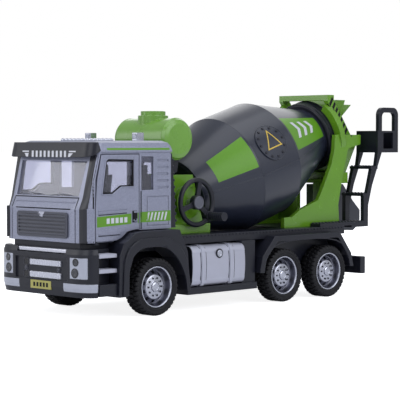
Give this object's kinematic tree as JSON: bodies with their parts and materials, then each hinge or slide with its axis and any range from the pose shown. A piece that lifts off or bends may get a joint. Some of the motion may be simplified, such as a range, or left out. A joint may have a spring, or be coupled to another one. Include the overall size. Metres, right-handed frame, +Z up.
{
  "type": "toy concrete mixer truck",
  "caption": "Toy concrete mixer truck: cab with opening doors, crank-driven tilted drum on a green frame, hopper, swivelling chute, ladder and rolling wheels.",
  "frame": {"origin": "middle of the bounding box on the ground", "axes": "+X forward towards the cab, +Y to the driver's left, +Z up"},
  "size_m": [0.187, 0.0578, 0.0867],
  "materials": {
    "paint_grey": "metallic",
    "black_plastic": "satin",
    "drum_plastic": "gloss",
    "green_plastic": "gloss",
    "chrome": "polished",
    "silver": "satin",
    "tyre": "matte",
    "steel": "satin",
    "glass": "clear",
    "clear_lens": "clear",
    "plate_yellow": "gloss",
    "grip_plastic": "matte"
  },
  "bodies": {
    "chassis": {"chassis_frame": "black_plastic", "sills": "black_plastic", "front_arches": "black_plastic", "rear_mudguards": "black_plastic", "fuel_tanks": "silver", "tank_caps": "chrome", "cab_shell": "paint_grey", "cab_roof": "paint_grey", "sun_visor": "black_plastic", "windscreen": "glass", "cab_glass": "glass", "cab_back_panel": "black_plastic", "seats": "black_plastic", "dashboard": "black_plastic", "grille": "black_plastic", "corner_vanes": "paint_grey", "front_bumper": "black_plastic", "headlamps": "clear_lens", "corner_lamps": "clear_lens", "bumper_trim": "chrome", "number_plate": "plate_yellow", "step_boxes": "black_plastic", "step_treads": "silver", "roof_bar": "chrome", "roof_pods": "chrome", "water_tank": "green_plastic", "tank_bracket": "black_plastic", "front_pedestal": "green_plastic", "rear_frame": "green_plastic", "charging_hopper": "green_plastic", "collecting_funnel": "green_plastic", "ladder": "black_plastic", "rear_bumper": "black_plastic"},
    "front_wheelset": {"front_axle": "steel", "front_rims": "chrome", "front_tyres": "tyre"},
    "middle_wheelset": {"middle_axle": "steel", "middle_rims": "chrome", "middle_tyres": "tyre"},
    "rear_wheelset": {"rear_axle": "steel", "rear_rims": "chrome", "rear_tyres": "tyre"},
    "drum": {"drum_shell_upper": "drum_plastic", "drum_shell_lower": "drum_plastic", "drum_nose_plate": "drum_plastic", "drum_collar": "drum_plastic", "drum_hatch": "drum_plastic", "drum_blades": "drum_plastic", "drum_gear": "steel"},
    "crank": {"crank_pinion": "steel", "crank_shaft": "steel", "handwheel": "black_plastic", "grip_pin": "steel"},
    "grip": {"grip_sleeve": "grip_plastic"},
    "left_door": {"door_left": "paint_grey", "door_glass_left": "glass"},
    "right_door": {"door_right": "paint_grey", "door_glass_right": "glass"},
    "discharge_chute": {"chute": "drum_plastic"}
  },
  "joints": [
    {"name": "front_axle_spin", "type": "hinge", "parent": "chassis", "child": "front_wheelset", "pos_m": [0.06005, 0, 0.011], "axis": [0, 1, 0], "continuous": true},
    {"name": "middle_axle_spin", "type": "hinge", "parent": "chassis", "child": "middle_wheelset", "pos_m": [-0.01215, 0, 0.011], "axis": [0, 1, 0], "continuous": true},
    {"name": "rear_axle_spin", "type": "hinge", "parent": "chassis", "child": "rear_wheelset", "pos_m": [-0.04035, 0, 0.011], "axis": [0, 1, 0], "continuous": true},
    {"name": "drum_spin", "type": "hinge", "parent": "chassis", "child": "drum", "pos_m": [-0.00329, 0, 0.05175], "axis": [-0.9572, 0, 0.2895], "continuous": true},
    {"name": "crank_spin", "type": "hinge", "parent": "chassis", "child": "crank", "pos_m": [0.02916, 0, 0.04194], "axis": [0, 1, 0], "continuous": true},
    {"name": "grip_spin", "type": "hinge", "parent": "crank", "child": "grip", "pos_m": [0.02276, 0.023, 0.03633], "axis": [0, 1, 0], "continuous": true},
    {"name": "left_door_hinge", "type": "hinge", "parent": "chassis", "child": "left_door", "pos_m": [0.08635, 0.0236, 0.04], "axis": [0, 0, -1], "range_deg": [0, 65]},
    {"name": "right_door_hinge", "type": "hinge", "parent": "chassis", "child": "right_door", "pos_m": [0.08635, -0.0236, 0.04], "axis": [0, 0, 1], "range_deg": [0, 65]},
    {"name": "chute_swivel", "type": "hinge", "parent": "chassis", "child": "discharge_chute", "pos_m": [-0.06995, 0, 0.03], "axis": [0, 0, 1], "range_deg": [0, 50]}
  ],
  "couplings": [
    {"joint": "crank_spin", "follows": "drum_spin", "ratio": -1.3333}
  ]
}
